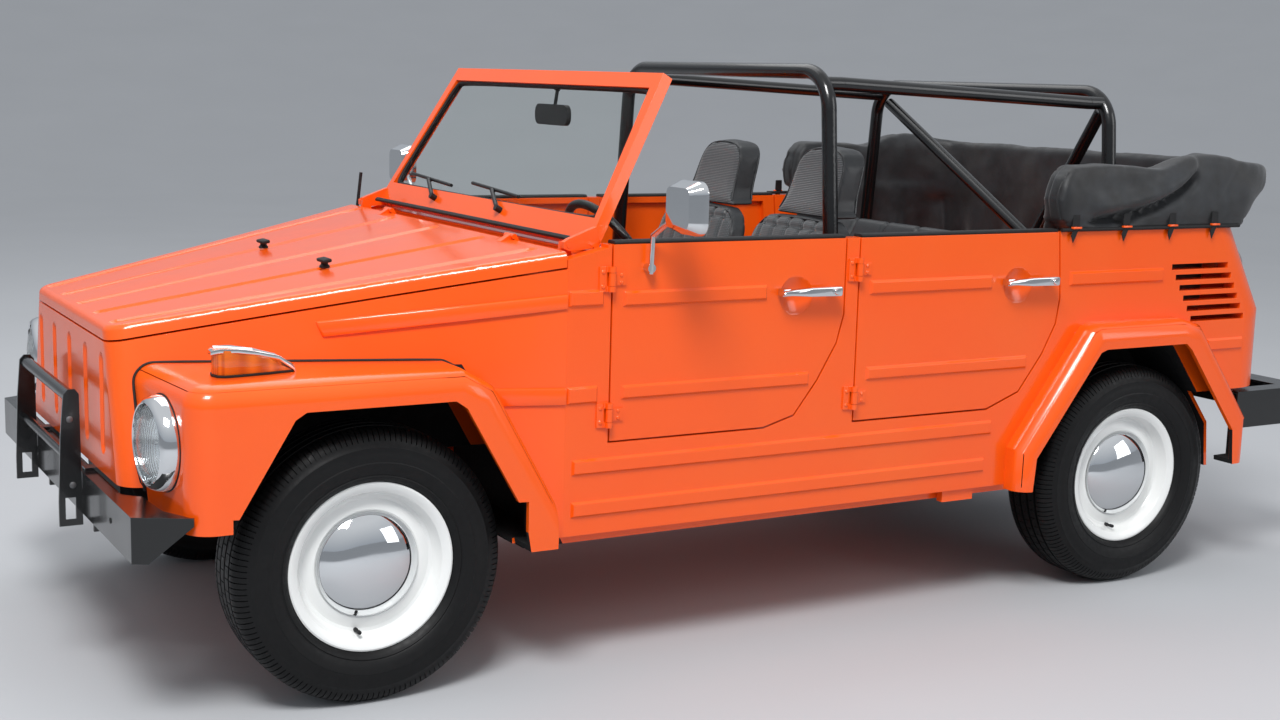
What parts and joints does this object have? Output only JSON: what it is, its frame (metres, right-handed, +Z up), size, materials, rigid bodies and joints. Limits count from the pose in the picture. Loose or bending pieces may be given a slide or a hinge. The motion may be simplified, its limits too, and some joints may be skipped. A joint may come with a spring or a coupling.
{
  "type": "open-top utility car",
  "caption": "Full-size open-top utility car with lift-off doors, fold-down windscreen, tubular roll cage, folded fabric top, lids, steering and rolling wheels.",
  "frame": {"origin": "on the ground under the middle of the car's length and width", "axes": "+X forward, +Y to the driver's left, +Z up"},
  "size_m": [3.795, 1.93, 1.525],
  "materials": {
    "body_paint": "gloss orange",
    "black_paint": "satin black",
    "chrome": "polished",
    "glass": "clear",
    "tyre": "matt",
    "wheel_paint": "satin off-white",
    "vinyl": "worn black vinyl",
    "seat_vinyl": "black vinyl",
    "rubber": "matt",
    "amber": "clear amber",
    "red_lens": "clear red",
    "cast": "dull",
    "steel": "dull",
    "plastic": "matt black"
  },
  "bodies": {
    "chassis": {"antenna": "plastic", "brush_guard": "black_paint", "cage_rails": "black_paint", "cowl": "body_paint", "exhaust": "steel", "floor_pan": "body_paint", "folded_top": "vinyl", "front_axle": "steel", "front_bay": "body_paint", "front_bumper": "black_paint", "front_fender_left": "body_paint", "front_fender_right": "body_paint", "front_hoop": "black_paint", "front_seats": "seat_vinyl", "headlamps": "chrome", "nose_body": "body_paint", "powertrain": "cast", "rear_axle": "steel", "rear_bench": "seat_vinyl", "rear_bumper": "black_paint", "rear_deck": "body_paint", "rear_fender_left": "body_paint", "rear_fender_right": "body_paint", "rear_hoop": "black_paint", "side_panel_left": "body_paint", "side_panel_right": "body_paint", "steering_column": "black_paint", "tail_lamps": "red_lens", "tail_panel": "body_paint", "turn_signals": "amber"},
    "front_lid": {"front_lid": "body_paint", "lid_rests": "rubber"},
    "engine_lid": {"engine_lid": "body_paint"},
    "windscreen": {"windscreen_frame": "body_paint", "windscreen_glass": "glass", "wipers": "plastic", "interior_mirror": "plastic"},
    "door_front_left": {"door_front_left": "body_paint", "door_handle_front_left": "chrome", "door_mirror_left": "chrome"},
    "door_front_right": {"door_front_right": "body_paint", "door_handle_front_right": "chrome", "door_mirror_right": "chrome"},
    "door_rear_left": {"door_rear_left": "body_paint", "door_handle_rear_left": "chrome"},
    "door_rear_right": {"door_rear_right": "body_paint", "door_handle_rear_right": "chrome"},
    "knuckle_left": {"knuckle_left": "steel"},
    "knuckle_right": {"knuckle_right": "steel"},
    "wheel_front_left": {"wheel_front_left": "wheel_paint", "tyre_front_left": "tyre"},
    "wheel_front_right": {"wheel_front_right": "wheel_paint", "tyre_front_right": "tyre"},
    "wheel_rear_left": {"wheel_rear_left": "wheel_paint", "tyre_rear_left": "tyre"},
    "wheel_rear_right": {"wheel_rear_right": "wheel_paint", "tyre_rear_right": "tyre"},
    "steering_wheel": {"steering_wheel": "plastic"}
  },
  "joints": [
    {"name": "front_lid_hinge", "type": "hinge", "parent": "chassis", "child": "front_lid", "pos_m": [0.799, 0, 1.066], "axis": [0, -1, 0], "range_deg": [0, 58]},
    {"name": "engine_lid_hinge", "type": "hinge", "parent": "chassis", "child": "engine_lid", "pos_m": [-1.63583, 0, 0.942], "axis": [0, 1, 0], "range_deg": [0, 60]},
    {"name": "windscreen_fold", "type": "hinge", "parent": "chassis", "child": "windscreen", "pos_m": [0.775, 0, 1.068], "axis": [0, -1, 0], "range_deg": [-128, 0]},
    {"name": "door_front_left_hinge", "type": "hinge", "parent": "chassis", "child": "door_front_left", "pos_m": [0.683, 0.757, 0.8], "axis": [0, 0, -1], "range_deg": [0, 70]},
    {"name": "door_rear_left_hinge", "type": "hinge", "parent": "chassis", "child": "door_rear_left", "pos_m": [-0.066, 0.757, 0.8], "axis": [0, 0, -1], "range_deg": [0, 70]},
    {"name": "door_front_right_hinge", "type": "hinge", "parent": "chassis", "child": "door_front_right", "pos_m": [0.683, -0.757, 0.8], "axis": [0, 0, 1], "range_deg": [0, 70]},
    {"name": "door_rear_right_hinge", "type": "hinge", "parent": "chassis", "child": "door_rear_right", "pos_m": [-0.066, -0.757, 0.8], "axis": [0, 0, 1], "range_deg": [0, 70]},
    {"name": "steer_left", "type": "hinge", "parent": "chassis", "child": "knuckle_left", "pos_m": [1.295, 0.58, 0.332], "axis": [0, 0, 1], "range_deg": [-28, 28]},
    {"name": "spin_front_left", "type": "hinge", "parent": "knuckle_left", "child": "wheel_front_left", "pos_m": [1.295, 0.662, 0.332], "axis": [0, 1, 0], "continuous": true},
    {"name": "spin_rear_left", "type": "hinge", "parent": "chassis", "child": "wheel_rear_left", "pos_m": [-1.105, 0.662, 0.332], "axis": [0, 1, 0], "continuous": true},
    {"name": "steer_right", "type": "hinge", "parent": "chassis", "child": "knuckle_right", "pos_m": [1.295, -0.58, 0.332], "axis": [0, 0, 1], "range_deg": [-28, 28]},
    {"name": "spin_front_right", "type": "hinge", "parent": "knuckle_right", "child": "wheel_front_right", "pos_m": [1.295, -0.662, 0.332], "axis": [0, 1, 0], "continuous": true},
    {"name": "spin_rear_right", "type": "hinge", "parent": "chassis", "child": "wheel_rear_right", "pos_m": [-1.105, -0.662, 0.332], "axis": [0, 1, 0], "continuous": true},
    {"name": "steering_wheel_turn", "type": "hinge", "parent": "chassis", "child": "steering_wheel", "pos_m": [0.43, 0.3, 0.965], "axis": [-0.866, 0, 0.5], "range_deg": [-350, 350]}
  ],
  "couplings": [
    {"joint": "steer_right", "follows": "steer_left", "ratio": 1},
    {"joint": "steering_wheel_turn", "follows": "steer_left", "ratio": 12.5}
  ]
}
